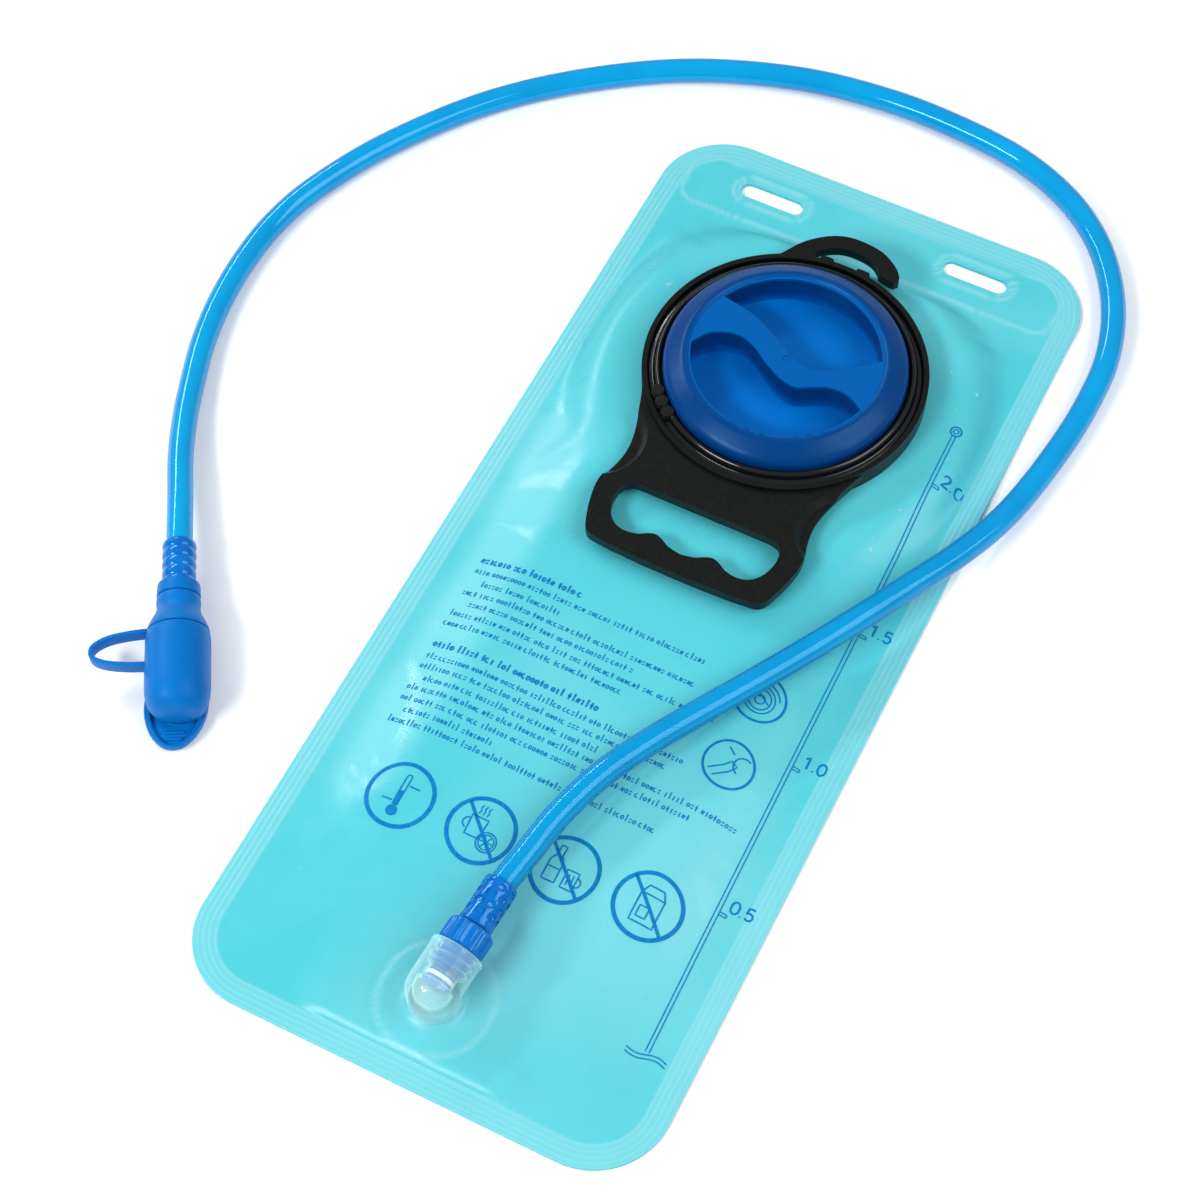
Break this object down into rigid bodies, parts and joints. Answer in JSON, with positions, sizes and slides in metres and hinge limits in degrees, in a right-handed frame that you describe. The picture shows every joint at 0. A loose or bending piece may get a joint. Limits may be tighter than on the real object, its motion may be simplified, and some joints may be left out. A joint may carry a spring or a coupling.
{
  "type": "hydration bladder",
  "caption": "Flexible drinking-water reservoir with a wide screw cap, a handle and hook frame, a screw-in drinking hose and a covered bite valve.",
  "frame": {"origin": "centre of the bag's underside, where it rests on its back", "axes": "+Y up the bag's length towards the hanger slots, +X to the right seen from the front, +Z out of the printed front"},
  "size_m": [0.3252, 0.4542, 0.0272],
  "materials": {
    "film": "clear tinted film, satin",
    "flange": "translucent",
    "black_plastic": "fine texture",
    "cap_plastic": "translucent, satin",
    "clear_plastic": "clear",
    "fitting": "gloss",
    "hose": "clear tinted tube, gloss",
    "silicone": "satin",
    "seal": "satin"
  },
  "bodies": {
    "bladder": {"front_film": "film", "back_film": "film", "port_flange": "flange", "port_neck": "black_plastic", "retaining_ring": "black_plastic", "handle_frame": "black_plastic", "outlet_port": "clear_plastic"},
    "cap_seal": {"cap_gasket": "seal"},
    "cap": {"screw_cap": "cap_plastic"},
    "hose": {"hose_spigot": "fitting", "spigot_oring": "seal", "hose_boot": "fitting", "hose_tube": "hose", "valve_boot": "fitting", "valve_collar": "silicone", "valve_barb": "fitting", "valve_body": "silicone", "shutoff_pin": "fitting", "valve_oring": "seal", "cover_strap": "silicone"},
    "nut": {"hose_nut": "fitting"},
    "mouthpiece": {"mouthpiece": "silicone"},
    "cover": {"dust_cover": "silicone"}
  },
  "joints": [
    {"name": "cap_lift", "type": "slide", "parent": "bladder", "child": "cap_seal", "axis": [0, 0, 1], "range_m": [0, 0.00701]},
    {"name": "cap_turn", "type": "hinge", "parent": "cap_seal", "child": "cap", "pos_m": [0, 0.1003, 0], "axis": [0, 0, 1], "range_deg": [0, 630]},
    {"name": "hose_withdraw", "type": "slide", "parent": "bladder", "child": "hose", "axis": [0.0886, 0.9923, 0.0872], "range_m": [0, 0.007]},
    {"name": "nut_turn", "type": "hinge", "parent": "hose", "child": "nut", "pos_m": [0, -0.1725, 0.0139], "axis": [0.0886, 0.9923, 0.0872], "range_deg": [0, 840.5]},
    {"name": "mouthpiece_pull", "type": "slide", "parent": "hose", "child": "mouthpiece", "axis": [0.509, -0.8607, 0], "range_m": [0, 0.004]},
    {"name": "cover_pull", "type": "slide", "parent": "hose", "child": "cover", "axis": [0.509, -0.8607, 0], "range_m": [0, 0.032], "deforming": ["cover_strap"]}
  ],
  "couplings": [
    {"joint": "cap_lift", "follows": "cap_turn", "m_per_rad": 0.00063662},
    {"joint": "nut_turn", "follows": "hose_withdraw", "rad_per_m": 2094.4}
  ]
}
